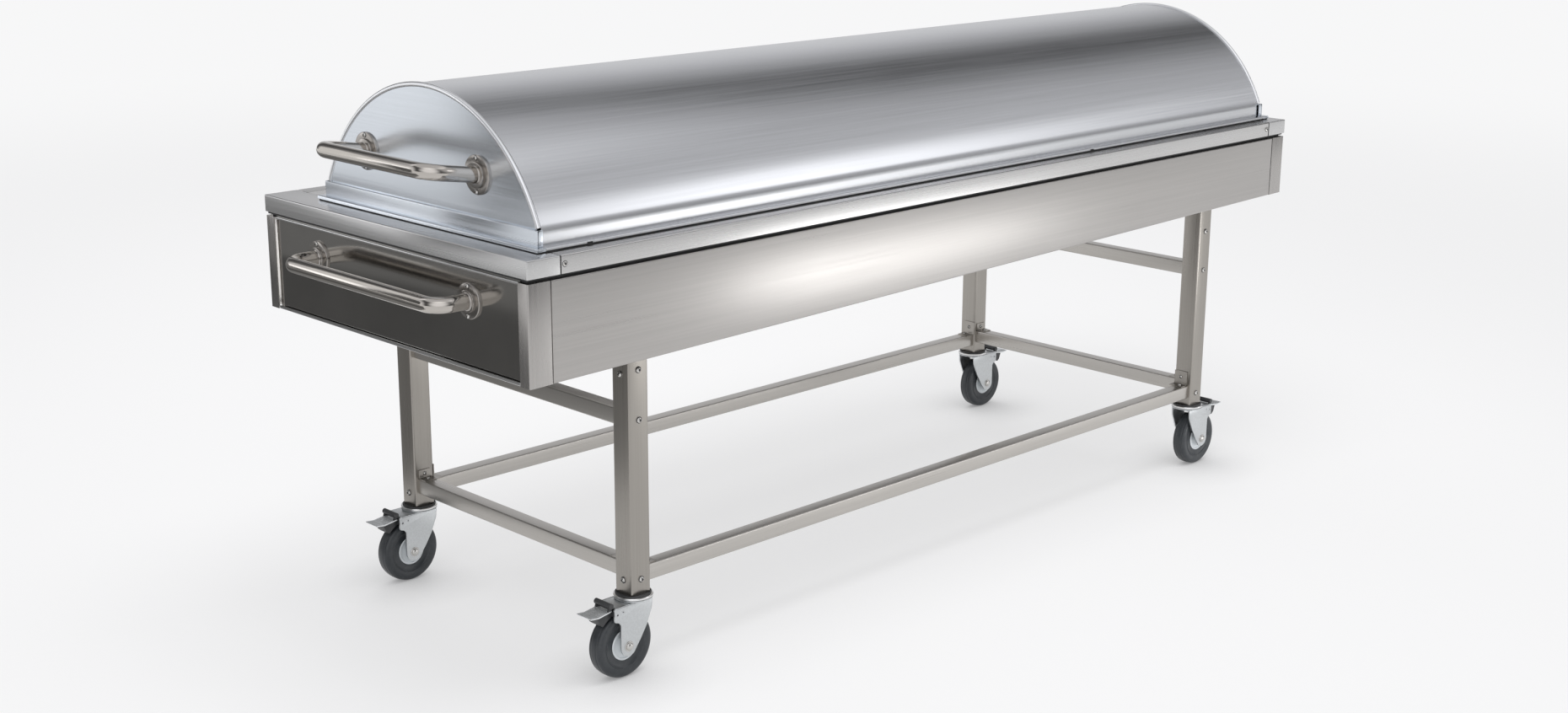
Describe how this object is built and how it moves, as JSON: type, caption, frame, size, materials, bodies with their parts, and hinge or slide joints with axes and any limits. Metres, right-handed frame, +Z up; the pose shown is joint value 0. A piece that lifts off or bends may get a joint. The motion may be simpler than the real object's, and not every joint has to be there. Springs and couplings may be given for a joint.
{
  "type": "mortuary transfer trolley",
  "caption": "Long wheeled steel trolley with a lift-off arched cover over a body tray, D-shaped handles at both ends, a deep apron, railed square legs and braked swivel casters.",
  "frame": {"origin": "bottom centre of the bounding box, on the floor", "axes": "+X along the trolley towards its far end, +Y across it to the left, +Z up"},
  "size_m": [2.348, 0.788, 1.0433],
  "materials": {
    "deck_steel": "brushed",
    "bearer_steel": "matte black",
    "apron_steel": "brushed along its length",
    "end_panel_black": "glossy near black",
    "handle_steel": "polished",
    "flange_steel": "turned",
    "screw_steel": "plain",
    "leg_steel": "brushed, warm grey",
    "cap_plastic": "matte black",
    "runner_plastic": "natural white",
    "cover_steel": "satin brushed",
    "cover_end_steel": "satin brushed, cool white",
    "seal_rubber": "black sponge",
    "tray_steel": "satin",
    "fork_zinc": "zinc plated",
    "tyre_rubber": "matte dark blue grey",
    "hub_plastic": "light blue grey",
    "pedal_metal": "zinc plated with black shoe"
  },
  "bodies": {
    "trolley": {"deck_pan": "deck_steel", "deck_end_rail_near": "deck_steel", "deck_end_rail_far": "deck_steel", "deck_side_rails": "deck_steel", "deck_rail_screws": "screw_steel", "deck_bearers": "bearer_steel", "apron_side_left": "apron_steel", "apron_side_right": "apron_steel", "apron_corner_posts": "apron_steel", "end_panel_near": "end_panel_black", "end_panel_far": "end_panel_black", "end_sills": "apron_steel", "push_handle_near": "handle_steel", "push_handle_far": "handle_steel", "push_handle_flanges": "flange_steel", "push_handle_screws": "screw_steel", "leg_sockets": "bearer_steel", "leg_near_left": "leg_steel", "leg_near_right": "leg_steel", "leg_far_left": "leg_steel", "leg_far_right": "leg_steel", "upper_end_rails": "leg_steel", "lower_end_rails": "leg_steel", "lower_side_rails": "leg_steel", "rail_brackets": "leg_steel", "frame_bolts": "screw_steel", "caster_caps": "cap_plastic", "tray_runners": "runner_plastic"},
    "cover": {"cover_shell": "cover_steel", "cover_end_near": "cover_end_steel", "cover_end_far": "cover_end_steel", "cover_edge_beads": "cover_steel", "cover_end_skirts": "cover_steel", "cover_seal": "seal_rubber", "cover_handle_near": "handle_steel", "cover_handle_far": "handle_steel", "cover_handle_flanges": "flange_steel", "cover_handle_screws": "screw_steel"},
    "tray": {"body_tray": "tray_steel", "tray_grips": "tray_steel"},
    "swivel_near_left": {"fork_near_left": "fork_zinc", "axle_bolt_near_left": "fork_zinc"},
    "wheel_near_left": {"tyre_near_left": "tyre_rubber", "hub_near_left": "hub_plastic"},
    "pedal_near_left": {"brake_pedal_near_left": "pedal_metal"},
    "swivel_near_right": {"fork_near_right": "fork_zinc", "axle_bolt_near_right": "fork_zinc"},
    "wheel_near_right": {"tyre_near_right": "tyre_rubber", "hub_near_right": "hub_plastic"},
    "pedal_near_right": {"brake_pedal_near_right": "pedal_metal"},
    "swivel_far_left": {"fork_far_left": "fork_zinc", "axle_bolt_far_left": "fork_zinc"},
    "wheel_far_left": {"tyre_far_left": "tyre_rubber", "hub_far_left": "hub_plastic"},
    "pedal_far_left": {"brake_pedal_far_left": "pedal_metal"},
    "swivel_far_right": {"fork_far_right": "fork_zinc", "axle_bolt_far_right": "fork_zinc"},
    "wheel_far_right": {"tyre_far_right": "tyre_rubber", "hub_far_right": "hub_plastic"},
    "pedal_far_right": {"brake_pedal_far_right": "pedal_metal"}
  },
  "joints": [
    {"name": "cover_lift", "type": "slide", "parent": "trolley", "child": "cover", "axis": [0, 0, 1], "range_m": [0, 0.3]},
    {"name": "tray_lift", "type": "slide", "parent": "trolley", "child": "tray", "axis": [0, 0, 1], "range_m": [0, 0.03]},
    {"name": "swivel_turn_near_left", "type": "hinge", "parent": "trolley", "child": "swivel_near_left", "pos_m": [-0.835, 0.327, 0.1415], "axis": [0, 0, 1], "continuous": true},
    {"name": "wheel_spin_near_left", "type": "hinge", "parent": "swivel_near_left", "child": "wheel_near_left", "pos_m": [-0.867, 0.327, 0.0625], "axis": [0, 1, 0], "continuous": true},
    {"name": "brake_press_near_left", "type": "hinge", "parent": "swivel_near_left", "child": "pedal_near_left", "pos_m": [-0.8925, 0.327, 0.1285], "axis": [0, -1, 0], "range_deg": [0, 10]},
    {"name": "swivel_turn_near_right", "type": "hinge", "parent": "trolley", "child": "swivel_near_right", "pos_m": [-0.835, -0.327, 0.1415], "axis": [0, 0, 1], "continuous": true},
    {"name": "wheel_spin_near_right", "type": "hinge", "parent": "swivel_near_right", "child": "wheel_near_right", "pos_m": [-0.867, -0.327, 0.0625], "axis": [0, 1, 0], "continuous": true},
    {"name": "brake_press_near_right", "type": "hinge", "parent": "swivel_near_right", "child": "pedal_near_right", "pos_m": [-0.8925, -0.327, 0.1285], "axis": [0, -1, 0], "range_deg": [0, 10]},
    {"name": "swivel_turn_far_left", "type": "hinge", "parent": "trolley", "child": "swivel_far_left", "pos_m": [0.865, 0.327, 0.1415], "axis": [0, 0, 1], "continuous": true},
    {"name": "wheel_spin_far_left", "type": "hinge", "parent": "swivel_far_left", "child": "wheel_far_left", "pos_m": [0.897, 0.327, 0.0625], "axis": [0, 1, 0], "continuous": true},
    {"name": "brake_press_far_left", "type": "hinge", "parent": "swivel_far_left", "child": "pedal_far_left", "pos_m": [0.9225, 0.327, 0.1285], "axis": [0, 1, 0], "range_deg": [0, 10]},
    {"name": "swivel_turn_far_right", "type": "hinge", "parent": "trolley", "child": "swivel_far_right", "pos_m": [0.865, -0.327, 0.1415], "axis": [0, 0, 1], "continuous": true},
    {"name": "wheel_spin_far_right", "type": "hinge", "parent": "swivel_far_right", "child": "wheel_far_right", "pos_m": [0.897, -0.327, 0.0625], "axis": [0, 1, 0], "continuous": true},
    {"name": "brake_press_far_right", "type": "hinge", "parent": "swivel_far_right", "child": "pedal_far_right", "pos_m": [0.9225, -0.327, 0.1285], "axis": [0, 1, 0], "range_deg": [0, 10]}
  ]
}
